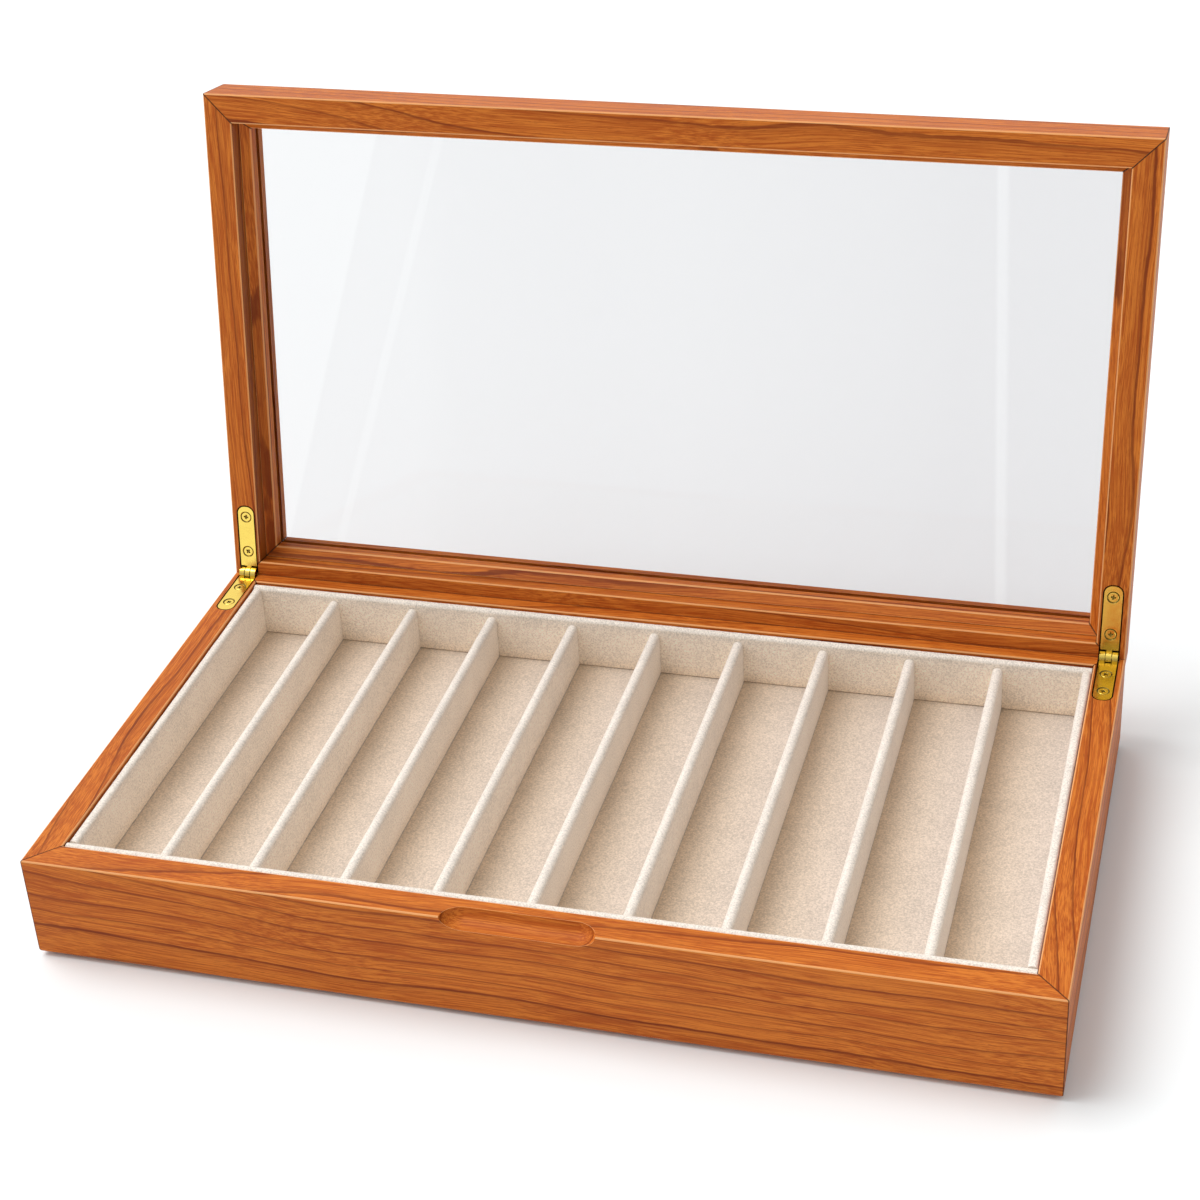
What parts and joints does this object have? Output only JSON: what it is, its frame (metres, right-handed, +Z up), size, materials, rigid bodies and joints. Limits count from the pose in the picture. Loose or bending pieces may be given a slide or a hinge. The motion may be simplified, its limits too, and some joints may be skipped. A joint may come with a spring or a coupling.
{
  "type": "jewelry display box",
  "caption": "Flat wooden jewelry box with a framed glass lid on two brass stop hinges, shown open, and a velvet tray divided into narrow compartments.",
  "frame": {"origin": "on the underside, in the middle of the base's resting face", "axes": "+X to the right along the box's width, +Y to the back where the hinges are, +Z up"},
  "size_m": [0.36, 0.2495, 0.2359],
  "materials": {
    "cherry_wood": "satin lacquered cherry, warm orange brown with darker grain lines",
    "plywood": "plain sanded plywood",
    "velvet": "short beige velvet over board",
    "baize": "dark brown baize",
    "foam": "white packing foam",
    "brass": "polished yellow brass",
    "clear_glass": "clear float glass"
  },
  "bodies": {
    "base": {"base_front_rail": "cherry_wood", "base_right_rail": "cherry_wood", "base_back_rail": "cherry_wood", "base_left_rail": "cherry_wood", "bottom_panel": "plywood", "baize_sheet": "baize", "foam_block": "foam", "tray_floor": "velvet", "lining_front": "velvet", "lining_back": "velvet", "lining_left": "velvet", "lining_right": "velvet", "divider_1": "velvet", "divider_2": "velvet", "divider_3": "velvet", "divider_4": "velvet", "divider_5": "velvet", "divider_6": "velvet", "divider_7": "velvet", "divider_8": "velvet", "divider_9": "velvet", "hinge_left_base_leaf": "brass", "hinge_left_pin": "brass", "hinge_left_base_screw_1": "brass", "hinge_left_base_screw_2": "brass", "hinge_right_base_leaf": "brass", "hinge_right_pin": "brass", "hinge_right_base_screw_1": "brass", "hinge_right_base_screw_2": "brass"},
    "lid": {"lid_front_rail": "cherry_wood", "lid_right_rail": "cherry_wood", "lid_back_rail": "cherry_wood", "lid_left_rail": "cherry_wood", "glass_bead_front": "cherry_wood", "glass_bead_right": "cherry_wood", "glass_bead_back": "cherry_wood", "glass_bead_left": "cherry_wood", "glass_pane": "clear_glass", "hinge_left_lid_leaf": "brass", "hinge_left_lid_screw_1": "brass", "hinge_left_lid_screw_2": "brass", "hinge_right_lid_leaf": "brass", "hinge_right_lid_screw_1": "brass", "hinge_right_lid_screw_2": "brass"}
  },
  "joints": [
    {"name": "lid_hinge", "type": "hinge", "parent": "base", "child": "lid", "pos_m": [0, 0.0955, 0.04225], "axis": [1, 0, 0], "range_deg": [0, 99.5]}
  ]
}
